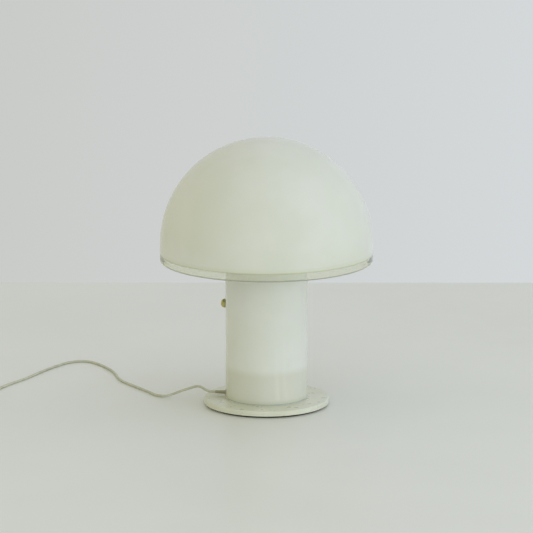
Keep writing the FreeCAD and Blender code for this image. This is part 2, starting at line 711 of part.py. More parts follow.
# ---- rotary switch and its knob ----
def switch_pieces():
    body = rod(SWITCH_BODY_RADIUS, switch_back + SWITCH_STEP_LENGTH, switch_face, SWITCH_HEIGHT)
    body = body.fuse(rod(SWITCH_STEP_RADIUS, switch_back, switch_back + SWITCH_STEP_LENGTH, SWITCH_HEIGHT))
    body = body.removeSplitter()
    shaft_bore = SHAFT_RADIUS + SHAFT_CLEARANCE
    shaft_end = switch_face - SHAFT_DEPTH
    body = body.cut(rod(shaft_bore, shaft_end - SHAFT_END_CLEARANCE, switch_face, SWITCH_HEIGHT))

    bushing = rod(BUSHING_RADIUS, switch_face, switch_nut_top, SWITCH_HEIGHT)
    bushing = bushing.cut(rod(shaft_bore, switch_face, switch_nut_top, SWITCH_HEIGHT))

    gasket_hole = BUSHING_RADIUS + SWITCH_GASKET_CLEARANCE
    inner_gasket_end = switch_face + SWITCH_GASKET_THICKNESS
    inner_gasket = rod(SWITCH_BODY_RADIUS, switch_face, inner_gasket_end, SWITCH_HEIGHT)
    outer_gasket = rod(SWITCH_GASKET_RADIUS, STEM_RADIUS, switch_nut_bottom, SWITCH_HEIGHT)
    gaskets = []
    for gasket in (inner_gasket, outer_gasket):
        gaskets.append(gasket.cut(rod(gasket_hole, switch_face, switch_nut_bottom, SWITCH_HEIGHT)))

    nut = rod(SWITCH_NUT_RADIUS, switch_nut_bottom, switch_nut_top, SWITCH_HEIGHT)
    nut = nut.cut(rod(gasket_hole, switch_nut_bottom, switch_nut_top, SWITCH_HEIGHT))

    knob = rod(KNOB_RADIUS, knob_back, knob_front, SWITCH_HEIGHT)
    front_edges = []
    for edge in knob.Edges:
        if abs(edge.BoundBox.XMin + knob_front) < 1e-4 and abs(edge.BoundBox.XMax + knob_front) < 1e-4:
            front_edges.append(edge)
    knob = knob.makeFillet(KNOB_ROUNDING, front_edges)
    recess_radius = SWITCH_NUT_RADIUS + KNOB_GAP
    knob = knob.cut(rod(recess_radius, knob_back, switch_nut_top + KNOB_GAP, SWITCH_HEIGHT))
    shaft_outer_end = knob_front - KNOB_END_WALL
    knob = knob.cut(rod(SHAFT_RADIUS, knob_back, shaft_outer_end, SWITCH_HEIGHT))
    screw_distance = (switch_nut_top + KNOB_GAP + shaft_outer_end) / 2
    screw_start = OUTWARD * screw_distance + Vector(0, SHAFT_RADIUS, SWITCH_HEIGHT)
    screw_hole = Part.makeCylinder(KNOB_SCREW_RADIUS, KNOB_RADIUS, screw_start, Vector(0, 1, 0))
    knob = knob.cut(screw_hole)
    screw = Part.makeCylinder(KNOB_SCREW_RADIUS, KNOB_SCREW_LENGTH, screw_start, Vector(0, 1, 0))

    shaft = rod(SHAFT_RADIUS, shaft_end, shaft_outer_end, SWITCH_HEIGHT)
    return {
        "switch_body": body,
        "switch_bushing": bushing,
        "switch_gaskets": Part.makeCompound(gaskets),
        "switch_nut": nut,
        "switch_knob": knob,
        "switch_shaft": shaft,
        "knob_screw": screw,
    }


# ---- cord bush, clamp, terminal block and the wires inside the lamp ----
def wiring_pieces():
    flange_start = STEM_RADIUS
    flange_end = flange_start + BUSH_FLANGE_THICKNESS
    bush = rod(bush_radius, stem_bore - BUSH_INNER_REACH, flange_start, cord_height)
    bush = bush.fuse(rod(BUSH_FLANGE_RADIUS, flange_start, flange_end, cord_height))
    tail = Part.makeCone(
        RELIEF_RADIUS,
        RELIEF_END_RADIUS,
        RELIEF_LENGTH,
        OUTWARD * flange_end + Vector(0, 0, cord_height),
        OUTWARD,
    )
    bush = bush.fuse(tail).removeSplitter()
    bush = bush.cut(rod(cord_radius, stem_bore - BUSH_INNER_REACH, bush_end, cord_height))

    inner_cord = rod(cord_radius, block_back, bush_end, cord_height)

    clamp_top = cord_height + cord_radius + CLAMP_TOP_WALL
    half = CLAMP_WIDTH / 2
    clamp = Part.makeBox(
        CLAMP_LENGTH, CLAMP_WIDTH, clamp_top - cup_floor_top, Vector(-clamp_far, -half, cup_floor_top)
    )
    upright = [edge for edge in clamp.Edges if edge.BoundBox.ZLength > 1]
    clamp = clamp.makeFillet(CLAMP_ROUNDING, upright)
    channel = rod(cord_radius, clamp_near, clamp_far, cord_height)
    channel = channel.fuse(Part.makeBox(
        CLAMP_LENGTH,
        2 * cord_radius,
        cord_height - cup_floor_top,
        Vector(-clamp_far, -cord_radius, cup_floor_top),
    ))
    clamp = clamp.cut(channel)
    screws = []
    for y in (-CLAMP_SCREW_SPACING / 2, CLAMP_SCREW_SPACING / 2):
        foot = Vector(-clamp_middle, y, plate_top - SCREW_DEPTH)
        shank_length = clamp_top - foot.z
        clamp = clamp.cut(Part.makeCylinder(SCREW_RADIUS + SCREW_CLEARANCE, shank_length, foot))
        head_start = Vector(-clamp_middle, y, clamp_top)
        screw = Part.makeCylinder(SCREW_RADIUS, shank_length, foot)
        head = Part.makeCylinder(SCREW_HEAD_RADIUS, SCREW_HEAD_HEIGHT, head_start)
        head_rim = edges_at(head, clamp_top + SCREW_HEAD_HEIGHT, SCREW_HEAD_RADIUS)
        head = head.makeFillet(SCREW_HEAD_ROUNDING, head_rim)
        screws.append(screw.fuse(head).removeSplitter())

    block_width = BLOCK_POLES * BLOCK_POLE_PITCH + 2 * BLOCK_END_WALL
    block = Part.makeBox(
        BLOCK_LENGTH, block_width, BLOCK_HEIGHT, Vector(-block_back, -block_width / 2, cup_floor_top)
    )
    block_screws = []
    block_top = cup_floor_top + BLOCK_HEIGHT
    screw_bottom = block_top - BLOCK_SCREW_SINK - BLOCK_SCREW_HEIGHT
    for index in range(BLOCK_POLES):
        y = (index - (BLOCK_POLES - 1) / 2) * BLOCK_POLE_PITCH
        for share in (0.25, 0.75):
            spot = Vector(-block_back + BLOCK_LENGTH * share, y, screw_bottom)
            block = block.cut(Part.makeCylinder(BLOCK_SCREW_RADIUS, BLOCK_HEIGHT, spot))
            block_screws.append(Part.makeCylinder(BLOCK_SCREW_RADIUS, BLOCK_SCREW_HEIGHT, spot))
        if index > 0:
            groove_y = y - BLOCK_POLE_PITCH / 2 - BLOCK_GROOVE_WIDTH / 2
            groove = Vector(-block_back, groove_y, block_top - BLOCK_GROOVE_DEPTH)
            block = block.cut(Part.makeBox(BLOCK_LENGTH, BLOCK_GROOVE_WIDTH, BLOCK_GROOVE_DEPTH, groove))

    from_block = Vector(1, 0, 0)
    holder_lead_turn = block_front - HOLDER_LEAD_TURN
    switch_lead_turn = block_front - SWITCH_LEAD_TURN
    high_turn = switch_back - SWITCH_LEAD_HIGH_TURN
    top_turn = switch_back - SWITCH_LEAD_TOP_TURN
    holder_lead_route = [
        (-block_front, 0, cord_height),
        (-holder_lead_turn, 0, cord_height),
        (0, 0, cord_height + HOLDER_LEAD_RISE),
        (0, 0, insert_bottom),
    ]
    holder_lead_path = rounded_path(holder_lead_route, "holder lead")
    holder_lead = swept(holder_lead_path, HOLDER_LEAD_RADIUS, from_block, "holder lead")

    leads = []
    for side in (-1, 1):
        y = side * BLOCK_POLE_PITCH
        tag_y = side * SWITCH_TAG_SPREAD
        route = [
            (-block_front, y, cord_height),
            (-switch_lead_turn, y, cord_height),
            (-switch_lead_turn, side * SWITCH_LEAD_SPREAD, SWITCH_LEAD_LOW_BEND),
            (-high_turn, side * SWITCH_LEAD_SPREAD, SWITCH_HEIGHT - SWITCH_LEAD_HIGH_BEND),
            (-top_turn, tag_y, SWITCH_HEIGHT),
            (-switch_back, tag_y, SWITCH_HEIGHT),
        ]
        path = rounded_path(route, "switch lead")
        leads.append(swept(path, SWITCH_LEAD_RADIUS, from_block, "switch lead"))
    return {
        "cord_bush": bush,
        "inner_cord": inner_cord,
        "cord_clamp": clamp,
        "clamp_screws": Part.makeCompound(screws),
        "terminal_block": block,
        "terminal_screws": Part.makeCompound(block_screws),
        "holder_lead": holder_lead,
        "switch_leads": Part.makeCompound(leads),
    }


# ---- cord outside the lamp ----
def coil_stations(centre):
    """Each quarter turn's point and direction: in along the floor, up a layer, and out again."""
    stations = []
    quarters_in = round(COIL_LAYER_TURNS * 4)
    quarters = 2 * quarters_in + 2
    inner_radius = COIL_OUTER_RADIUS - COIL_PITCH * COIL_LAYER_TURNS
    step = COIL_PITCH / 4
    for index in range(quarters + 1):
        climb = 0.0
        if index <= quarters_in:
            radius = COIL_OUTER_RADIUS - step * index
            height = coil_floor
            radial = -step
        elif index == quarters_in + 1:
            radius = inner_radius - step
            height = coil_floor + COIL_PITCH / 2
            radial = 0.0
            climb = COIL_PITCH
        else:
            radius = inner_radius + step * (index - quarters_in - 2)
            height = coil_floor + COIL_PITCH
            radial = step
        if index in (0, quarters):
            radial = 0.0
        angle = -math.pi / 2 * index
        out = Vector(math.cos(angle), math.sin(angle), 0)
        onward = Vector(math.sin(angle), -math.cos(angle), 0)
        way = onward * (math.pi / 2 * radius) + out * radial + UP * (climb * COIL_CLIMB_SLOPE)
        way.normalize()
        stations.append((centre + out * radius + UP * height, way))
    return stations


def least_gap(wire, diameter):
    """The smallest distance between a wound cord's surface and its other turns."""
    steps_per_diameter = 3
    points = wire.discretize(Number=int(wire.Length / diameter * steps_per_diameter))
    nearby = 2 * steps_per_diameter
    gaps = []
    for index, point in enumerate(points):
        for other in points[index + nearby:]:
            gaps.append((point - other).Length - diameter)
    return min(gaps)


def cord_pieces():
    entry = Vector(COIL_ENTRY_X, COIL_ENTRY_Y, coil_floor)
    start = Vector(-bush_end, 0, cord_height)
    before_entry = entry + Vector(0, COIL_LEAD, 0)
    points = [start] + [Vector(*point) for point in CORD_ROUTE] + [before_entry, entry]
    cord_path = rounded_path(points, "mains cord")
    cord = swept(cord_path, cord_radius, points[1] - points[0], "mains cord")

    toward_plug = Vector(0, -1, 0)
    spiral_start = entry + toward_plug * CORD_DIAMETER
    centre = Vector(COIL_ENTRY_X - COIL_OUTER_RADIUS, spiral_start.y, 0)
    stations = coil_stations(centre)
    edges = [line(entry, spiral_start)]
    for (point, way), (next_point, next_way) in zip(stations, stations[1:]):
        edges += biarc(point, way, next_point, next_way)
    spiral_end = stations[-1][0]
    drop_end = Vector(spiral_end.x, spiral_end.y - COIL_END_DROP_LENGTH, plug_axis_height)
    edges += biarc(spiral_end, toward_plug, drop_end, toward_plug)
    coil_end = drop_end + toward_plug * CORD_DIAMETER
    edges.append(line(drop_end, coil_end))
    coil_path = Part.Wire(edges)
    coil = swept(coil_path, cord_radius, toward_plug, "cord coil")
    print("cord coil least gap to itself", round(least_gap(coil_path, CORD_DIAMETER), 2))
    print("free cord length", round(cord_path.Length + coil_path.Length, 1))

    return {"mains_cord": cord, "cord_coil": coil, "cord_tie": tie_piece(centre), **plug_pieces(coil_end)}


def tie_piece(centre):
    """A flat strap round both layers of the coil, on its +Y side, with its free end on top."""
    reach = cord_radius + TIE_GAP
    innermost_turn = COIL_OUTER_RADIUS - COIL_PITCH * COIL_LAYER_TURNS - COIL_PITCH / 4
    inner_edge = innermost_turn - reach
    outer_edge = COIL_OUTER_RADIUS + reach
    inner_height = COIL_PITCH + 2 * reach
    strap_x = centre.x - TIE_WIDTH / 2

    def rounded_box(grown):
        box = Part.makeBox(
            TIE_WIDTH,
            outer_edge - inner_edge + 2 * grown,
            inner_height + 2 * grown,
            Vector(strap_x, centre.y + inner_edge - grown, TIE_THICKNESS - grown),
        )
        along_width = [edge for edge in box.Edges if edge.BoundBox.XLength > 1]
        return box.makeFillet(TIE_ROUNDING + grown, along_width)

    tab_corner = Vector(strap_x, centre.y + innermost_turn, inner_height + 2 * TIE_THICKNESS)
    tab = Part.makeBox(TIE_WIDTH, TIE_TAB_LENGTH, TIE_THICKNESS, tab_corner)
    return rounded_box(TIE_THICKNESS).cut(rounded_box(0)).fuse(tab).removeSplitter()


def plug_pieces(cord_end):
    """A flat two-pin plug that lies on the floor and points along -Y."""
    relief = Part.makeCone(
        PLUG_RELIEF_END_RADIUS, PLUG_RELIEF_RADIUS, PLUG_RELIEF_LENGTH, cord_end, Vector(0, -1, 0)
    )
    rear = cord_end.y - PLUG_RELIEF_LENGTH
    shoulder = rear - (PLUG_LENGTH - PLUG_FRONT_LENGTH)
    front = rear - PLUG_LENGTH
    middle = cord_end.x
    half_rear = PLUG_REAR_WIDTH / 2
    half_front = PLUG_WIDTH / 2
    waist = (half_rear + half_front) / 2 - PLUG_WAIST_INSET

    def at(x, y):
        return Vector(middle + x, y, 0)

    waist_y = (rear + shoulder) / 2
    plan = face_from([
        line(at(-half_rear, rear), at(half_rear, rear)),
        arc(at(half_rear, rear), at(waist, waist_y), at(half_front, shoulder)),
        line(at(half_front, shoulder), at(half_front, front)),
        line(at(half_front, front), at(-half_front, front)),
        line(at(-half_front, front), at(-half_front, shoulder)),
        arc(at(-half_front, shoulder), at(-waist, waist_y), at(-half_rear, rear)),
    ])
    body = plan.extrude(Vector(0, 0, PLUG_THICKNESS))
    corners = []
    for edge in body.Edges:
        box = edge.BoundBox
        if box.ZLength > 1 and front + 1 < box.YMax < rear - 1:
            corners.append(edge)
    body = body.makeFillet(PLUG_SHOULDER_ROUNDING, corners)
    rims = []
    for edge in body.Edges:
        box = edge.BoundBox
        if box.ZLength < 1e-6 and box.YMax > front + 1:
            rims.append(edge)
    body = body.makeFillet(PLUG_ROUNDING, rims)
    body = body.fuse(relief).removeSplitter()
    pins = []
    sleeves = []
    for side in (-1, 1):
        spot = Vector(middle + side * PIN_SPACING / 2, front, plug_axis_height)
        way = Vector(0, -1, 0)
        bare_length = PIN_LENGTH - PIN_SLEEVE_LENGTH
        neck = Part.makeCylinder(PIN_NECK_RADIUS, PIN_SLEEVE_LENGTH, spot, way)
        bare_start = spot + way * PIN_SLEEVE_LENGTH
        bare = Part.makeCylinder(PIN_RADIUS, bare_length, bare_start, way)
        tip = [edge for edge in bare.Edges if abs(edge.BoundBox.YMax - (front - PIN_LENGTH)) < 1e-4]
        bare = bare.makeFillet(PIN_TIP_ROUNDING, tip)
        pins.append(neck.fuse(bare).removeSplitter())
        sleeve = Part.makeCylinder(PIN_RADIUS - PIN_SLEEVE_GAP, PIN_SLEEVE_LENGTH, spot, way)
        bore = Part.makeCylinder(PIN_NECK_RADIUS, PIN_SLEEVE_LENGTH, spot, way)
        sleeves.append(sleeve.cut(bore))
    return {
        "plug_body": body,
        "plug_pins": Part.makeCompound(pins),
        "pin_sleeves": Part.makeCompound(sleeves),
    }


os.makedirs("parts", exist_ok=True)
for group in (
    base_pieces,
    stem_pieces,
    column_pieces,
    carrier_pieces,
    shade_pieces,
    holder_pieces,
    switch_pieces,
    wiring_pieces,
    cord_pieces,
):
    for node, shape in group().items():
        shape.exportStep("parts/" + node + ".step")
        print(node, "solids", len(shape.Solids), "valid", shape.isValid())
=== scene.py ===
import math

import bpy
from mathutils import Matrix, Vector


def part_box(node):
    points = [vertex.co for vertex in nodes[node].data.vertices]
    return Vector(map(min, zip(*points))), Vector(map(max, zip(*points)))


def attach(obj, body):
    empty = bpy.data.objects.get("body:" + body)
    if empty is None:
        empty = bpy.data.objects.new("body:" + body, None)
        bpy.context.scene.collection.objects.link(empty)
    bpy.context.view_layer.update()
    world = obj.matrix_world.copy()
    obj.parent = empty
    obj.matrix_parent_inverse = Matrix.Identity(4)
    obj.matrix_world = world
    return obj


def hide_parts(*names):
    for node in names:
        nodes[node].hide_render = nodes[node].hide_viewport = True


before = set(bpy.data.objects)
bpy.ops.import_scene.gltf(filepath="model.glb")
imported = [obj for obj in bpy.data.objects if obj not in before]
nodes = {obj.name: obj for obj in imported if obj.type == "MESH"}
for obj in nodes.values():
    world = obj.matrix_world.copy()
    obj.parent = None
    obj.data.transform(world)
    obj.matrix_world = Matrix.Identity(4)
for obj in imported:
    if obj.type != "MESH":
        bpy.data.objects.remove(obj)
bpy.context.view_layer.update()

MM = 0.001


# ---- camera, at the photograph's viewing angle ----
IMAGE_SIZE = 533  # pixels each way
PIXELS_PER_METRE = 626.0  # at the lamp's axis
VIEW_DISTANCE = 6.0
VIEW_TURN = math.radians(8.0)  # the camera stands this far to the right of straight ahead
VIEW_DROP = math.radians(12.05)  # and looks down by this much
VIEW_TARGET = Vector((0.0, 0.0, 0.225))
SENSOR_WIDTH = 36.0  # in the camera's own millimetres
FAR_LIMIT = 100.0


def make_camera():
    data = bpy.data.cameras.new("camera")
    data.sensor_width = SENSOR_WIDTH
    data.lens = SENSOR_WIDTH * PIXELS_PER_METRE * VIEW_DISTANCE / IMAGE_SIZE
    data.clip_end = FAR_LIMIT
    camera = bpy.data.objects.new("camera", data)
    bpy.context.scene.collection.objects.link(camera)
    level = math.cos(VIEW_DROP)
    toward = Vector((
        math.sin(VIEW_TURN) * level,
        -math.cos(VIEW_TURN) * level,
        math.sin(VIEW_DROP),
    ))
    camera.location = VIEW_TARGET + toward * VIEW_DISTANCE
    camera.rotation_euler = toward.to_track_quat("Z", "Y").to_euler()
    bpy.context.scene.camera = camera


# ---- the cord: the route's points are those of the solid's route ----
CORD_DIAMETER = 0.004
CORD_EXIT = (-0.083, 0.0, 0.0161)
CORD_ROUTE = [
    (-0.0910, 0.0000, 0.0161),
    (-0.0989, 0.0021, 0.0179),
    (-0.1054, 0.0069, 0.0202),
    (-0.1110, 0.0144, 0.0208),
    (-0.1196, 0.0206, 0.0185),
    (-0.1308, 0.0232, 0.0143),
    (-0.1455, 0.0188, 0.0095),
    (-0.1582, 0.0121, 0.0052),
    (-0.1701, 0.0127, 0.0025),
    (-0.1863, 0.0222, 0.0020),
    (-0.2031, 0.0460, 0.0020),
    (-0.2340, 0.0810, 0.0020),
    (-0.2615, 0.1140, 0.0020),
    (-0.2790, 0.1680, 0.0020),
    (-0.3110, 0.2160, 0.0020),
    (-0.3400, 0.2405, 0.0020),
    (-0.3675, 0.2270, 0.0020),
    (-0.3850, 0.1905, 0.0020),
    (-0.4020, 0.1460, 0.0020),
    (-0.4165, 0.0975, 0.0020),
    (-0.4365, 0.0575, 0.0020),
    (-0.4495, 0.0090, 0.0031),
    (-0.4495, -0.0160, 0.0031),
]
COIL_MIDDLE = Vector((-0.4811, -0.0200, 0.0031))
COIL_RADIUS = 0.0316
COIL_PITCH = 0.0047  # from one turn to the next, and from one layer to the next
COIL_LAYER_TURNS = 3.25
COIL_CLIMB_TURNS = 0.5
POINTS_PER_TURN = 16
COIL_EXIT = [
    (-0.4495, -0.0260, 0.0078),
    (-0.4495, -0.0320, 0.00685),
    (-0.4495, -0.0420, 0.00685),
]
CORD_SIDES = 8  # the bevel's steps round half of the cord
CORD_STEPS = 12  # between two of its points


def coil_points():
    """The coil's turns: in along the floor, up a layer in half a turn, and out again."""
    inner_radius = COIL_RADIUS - COIL_PITCH * COIL_LAYER_TURNS
    turns = 2 * COIL_LAYER_TURNS + COIL_CLIMB_TURNS
    growth = 1 / math.cos(math.pi / POINTS_PER_TURN)  # the spline runs inside its points
    points = []
    for index in range(round(turns * POINTS_PER_TURN)):
        turn = (index + 0.5) / POINTS_PER_TURN
        past_climb = turn - COIL_LAYER_TURNS - COIL_CLIMB_TURNS
        if turn < COIL_LAYER_TURNS:
            radius = COIL_RADIUS - COIL_PITCH * turn
            rise = 0.0
        elif past_climb > 0:
            radius = inner_radius + COIL_PITCH * past_climb
            rise = 1.0
        else:
            share = (turn - COIL_LAYER_TURNS) / COIL_CLIMB_TURNS
            radius = inner_radius - COIL_PITCH / 4 * math.sin(math.pi * share)
            rise = share * share * (3 - 2 * share)
        angle = -2 * math.pi * turn
        out = Vector((math.cos(angle), math.sin(angle), 0.0))
        points.append(COIL_MIDDLE + out * radius * growth + Vector((0, 0, COIL_PITCH * rise)))
    return points


def make_cord():
    points = [CORD_EXIT, *CORD_ROUTE, *coil_points(), *COIL_EXIT]
    data = bpy.data.curves.new("cord", "CURVE")
    data.dimensions = "3D"
    spline = data.splines.new("NURBS")
    spline.points.add(len(points) - 1)
    for place, point in zip(spline.points, points):
        place.co = (*point, 1.0)
    spline.order_u = 3
    spline.use_endpoint_u = True
    spline.resolution_u = CORD_STEPS
    data.bevel_depth = CORD_DIAMETER / 2
    data.bevel_resolution = CORD_SIDES
    data.use_fill_caps = True
    cord = bpy.data.objects.new("cord", data)
    bpy.context.scene.collection.objects.link(cord)
    data.materials.append(pvc_surface("cord_pvc_cream", CREAM_CORD, 0.0016))
    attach(cord, "root")
    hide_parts("mains_cord", "cord_coil")


# ---- colours ----
def shade(red, green, blue):
    """A screen colour, each channel from 0 to 255, as linear light."""
    def linear(value):
        value /= 255
        return value / 12.92 if value <= 0.04045 else ((value + 0.055) / 1.055) ** 2.4
    return (linear(red), linear(green), linear(blue), 1.0)


DOME_OPAL = shade(234, 235, 223)
DOME_OPAL_DEEP = shade(229, 231, 214)
STEM_OPAL = shade(240, 241, 232)
OLIVE_EDGE = shade(212, 214, 180)
# painted contact shade: the stem glass darkens to olive at its foot, where it stands on the plate
PAINTED_FOOT_SHADE = shade(196, 199, 166)
PAINTED_FOOT_SHADE_FADE = shade(228, 231, 218)
CLOUD_DARK = shade(250, 251, 247)
CLOUD_LIGHT = shade(255, 255, 255)
CLEAR_GLASS = shade(253, 254, 248)
CLEAR_GLASS_DEPTH = shade(226, 230, 140)
CREAM_ENAMEL = shade(234, 235, 214)
CREAM_ENAMEL_DEEP = shade(226, 227, 203)
INNER_ENAMEL = shade(214, 212, 203)
WIRE_ENAMEL = shade(232, 232, 228)
CREAM_CORD = shade(210, 210, 186)
PLUG_CREAM = shade(216, 216, 194)
WHITE_INSULATION = shade(232, 230, 222)
NYLON = shade(230, 228, 218)
SILICONE = shade(226, 227, 220)
THERMOSET = shade(234, 232, 222)
CERAMIC = shade(238, 235, 225)
BLACK_PLASTIC = shade(42, 42, 42)
FELT = shade(26, 27, 20)
FELT_LIGHT = shade(44, 45, 34)
BRASS = shade(216, 208, 140)
BRASS_DARK = shade(186, 178, 116)
BUSH_OLIVE = shade(172, 170, 134)
CONTACT_BRASS = shade(214, 184, 116)
NICKEL = shade(208, 204, 192)
ZINC = shade(188, 190, 190)
STEEL = shade(160, 161, 163)
ALUMINIUM = shade(214, 215, 217)
BULB_WHITE = shade(240, 240, 236)
BULB_GREY = shade(232, 232, 227)


# ---- procedural surfaces ----
class Surface:
    """A material whose colour, gloss and grain come from noise in the piece's own space."""

    def __init__(self, name, roughness, metallic=0.0):
        self.material = bpy.data.materials.new(name)
        self.material.use_nodes = True
        self.tree = self.material.node_tree
        self.shader = self.tree.nodes["Principled BSDF"]
        self.place = self.tree.nodes.new("ShaderNodeTexCoord").outputs["Object"]
        self.set("Roughness", roughness)
        self.set("Metallic", metallic)
        self.last_bump = None

    def set(self, socket, value):
        self.shader.inputs[socket].default_value = value

    def join(self, source, target):
        self.tree.links.new(source, target)

    def node(self, kind, **settings):
        made = self.tree.nodes.new("ShaderNode" + kind)
        for name, value in settings.items():
            setattr(made, name, value)
        return made

    def noise(self, size, detail=2.0, stretch=(1.0, 1.0, 1.0)):
        """Noise whose patches are about that many metres across, longer where stretch is more."""
        mapping = self.node("Mapping")
        mapping.inputs["Scale"].default_value = tuple(1 / (size * s) for s in stretch)
        self.join(self.place, mapping.inputs["Vector"])
        noise = self.node("TexNoise")
        noise.inputs["Scale"].default_value = 1.0
        noise.inputs["Detail"].default_value = detail
        self.join(mapping.outputs["Vector"], noise.inputs["Vector"])
        return noise.outputs["Fac"]

    def waves(self, size, direction, distortion=0.0):
        """Even ridges that far apart along one axis."""
        wave = self.node("TexWave", wave_type="BANDS", bands_direction=direction)
        wave.inputs["Scale"].default_value = 1 / size / WAVES_PER_UNIT
        wave.inputs["Distortion"].default_value = distortion
        self.join(self.place, wave.inputs["Vector"])
        return wave.outputs["Fac"]

    def axis(self, name):
        parts = self.node("SeparateXYZ")
        self.join(self.place, parts.inputs["Vector"])
        return parts.outputs[name]

    def ramp(self, value, stops, low=0.0, high=1.0):
        """A colour for each value from low to high; stops are (value, colour)."""
        spread = self.node("MapRange")
        spread.inputs["From Min"].default_value = low
        spread.inputs["From Max"].default_value = high
        self.join(value, spread.inputs["Value"])
        ramp = self.node("ValToRGB")
        ramp.color_ramp.interpolation = "EASE"
        elements = ramp.color_ramp.elements
        while len(elements) < len(stops):
            elements.new(0.5)
        for element, (at, colour) in zip(elements, stops):
            element.position = (at - low) / (high - low)
        for element, (at, colour) in zip(elements, stops):
            element.color = colour
        self.join(spread.outputs["Result"], ramp.inputs["Fac"])
        return ramp.outputs["Color"]

    def blend(self, first, second, factor, mode="MIX"):
        mix = self.node("Mix", data_type="RGBA", blend_type=mode)
        for value, name in ((factor, "Factor"), (first, "A"), (second, "B")):
            socket = [s for s in mix.inputs if s.name == name and s.enabled][0]
            if isinstance(value, bpy.types.NodeSocket):
                self.join(value, socket)
            else:
                socket.default_value = value
        return [s for s in mix.outputs if s.enabled][0]

    def colour(self, source):
        self.join(source, self.shader.inputs["Base Color"])

    def gloss(self, value, low, high):
        """Roughness that wanders between two values."""
        spread = self.node("MapRange")
        spread.inputs["From Min"].default_value = NOISE_LOW
        spread.inputs["From Max"].default_value = NOISE_HIGH
        spread.inputs["To Min"].default_value = low
        spread.inputs["To Max"].default_value = high
        self.join(value, spread.inputs["Value"])
        self.join(spread.outputs["Result"], self.shader.inputs["Roughness"])

    def bump(self, height, depth, strength=1.0):
        """Relief of that depth in metres; later calls lie on top of earlier ones."""
        bump = self.node("Bump")
        bump.inputs["Strength"].default_value = strength
        bump.inputs["Distance"].default_value = depth
        self.join(height, bump.inputs["Height"])
        if self.last_bump:
            self.join(self.last_bump, bump.inputs["Normal"])
        self.last_bump = bump.outputs["Normal"]
        self.join(self.last_bump, self.shader.inputs["Normal"])


WAVES_PER_UNIT = 10 / math.pi  # ridges that a wave texture of scale 1 has in each unit
NOISE_LOW = 0.3  # most of a noise texture lies between these two
NOISE_HIGH = 0.7


def opal(name, bands):
    """Polished opal glass; bands are (height, colour) along the piece."""
    surface = Surface(name, 0.12)
    surface.set("IOR", 1.5)
    surface.set("Subsurface Weight", 0.35)
    surface.set("Subsurface Radius", (1.0, 0.95, 0.7))
    surface.set("Subsurface Scale", 3 * MM)
    surface.set("Coat Weight", 0.2)
    surface.set("Coat Roughness", 0.03)
    heights = [height for height, colour in bands]
    height_colour = surface.ramp(surface.axis("Z"), bands, min(heights) - MM, max(heights) + MM)
    cloud = surface.ramp(surface.noise(90 * MM, 3.0), [(0.35, CLOUD_DARK), (0.65, CLOUD_LIGHT)])
    surface.base = surface.blend(height_colour, cloud, 1.0, "MULTIPLY")
    surface.colour(surface.base)
    surface.gloss(surface.noise(35 * MM, 4.0), 0.08, 0.16)
    surface.bump(surface.noise(70 * MM, 1.0), 0.5 * MM, 0.25)
    surface.bump(surface.noise(6 * MM, 2.0), 0.02 * MM, 0.3)
    return surface


def clear_glass_surface():
    surface = Surface("clear_rim_glass", 0.0)
    surface.set("IOR", 1.5)
    surface.set("Transmission Weight", 0.86)
    surface.set("Base Color", CLEAR_GLASS)
    surface.gloss(surface.noise(9 * MM, 3.0), 0.0, 0.05)
    surface.bump(surface.noise(14 * MM, 2.0), 0.1 * MM, 0.3)
    depth = surface.node("VolumeAbsorption")
    depth.inputs["Color"].default_value = CLEAR_GLASS_DEPTH
    depth.inputs["Density"].default_value = 30.0
    surface.join(depth.outputs["Volume"], surface.tree.nodes["Material Output"].inputs["Volume"])
    return surface.material


def enamel_surface(name, colour, deep_colour, roughness=0.3):
    surface = Surface(name, roughness)
    surface.set("Coat Weight", 0.35)
    surface.set("Coat Roughness", 0.12)
    surface.colour(surface.ramp(surface.noise(55 * MM, 4.0), [(0.3, deep_colour), (0.7, colour)]))
    surface.gloss(surface.noise(12 * MM, 3.0), roughness - 0.05, roughness + 0.06)
    surface.bump(surface.noise(16 * MM, 2.0), 0.08 * MM, 0.25)
    return surface.material


def pvc_surface(name, colour, grain):
    surface = Surface(name, 0.42)
    darker = tuple(0.86 * channel for channel in colour[:3]) + (1.0,)
    surface.set("Subsurface Weight", 0.15)
    surface.set("Subsurface Scale", 1 * MM)
    surface.colour(surface.ramp(surface.noise(11 * MM, 4.0), [(0.3, darker), (0.65, colour)]))
    surface.gloss(surface.noise(4 * MM, 3.0), 0.34, 0.52)
    surface.bump(surface.noise(grain, 3.0), 0.06 * MM, 0.4)
    return surface.material


def plastic_surface(name, colour, roughness, grain=0.6 * MM):
    surface = Surface(name, roughness)
    darker = tuple(0.9 * channel for channel in colour[:3]) + (1.0,)
    surface.colour(surface.ramp(surface.noise(16 * MM, 3.0), [(0.3, darker), (0.7, colour)]))
    surface.gloss(surface.noise(5 * MM, 3.0), roughness - 0.06, roughness + 0.06)
    surface.bump(surface.noise(grain, 2.0), 0.03 * MM, 0.5)
    return surface.material


def metal_surface(name, colour, dark_colour, roughness, ridge=0.0, ridge_axis="Z", ridge_depth=0.0):
    surface = Surface(name, roughness, 1.0)
    surface.colour(surface.ramp(surface.noise(7 * MM, 5.0), [(0.3, dark_colour), (0.6, colour)]))
    surface.gloss(surface.noise(2 * MM, 4.0), roughness - 0.08, roughness + 0.12)
    surface.bump(surface.noise(0.5 * MM, 2.0), 0.01 * MM, 0.6)
    if ridge:
        surface.bump(surface.waves(ridge, ridge_axis), ridge_depth, 1.0)
    return surface.material


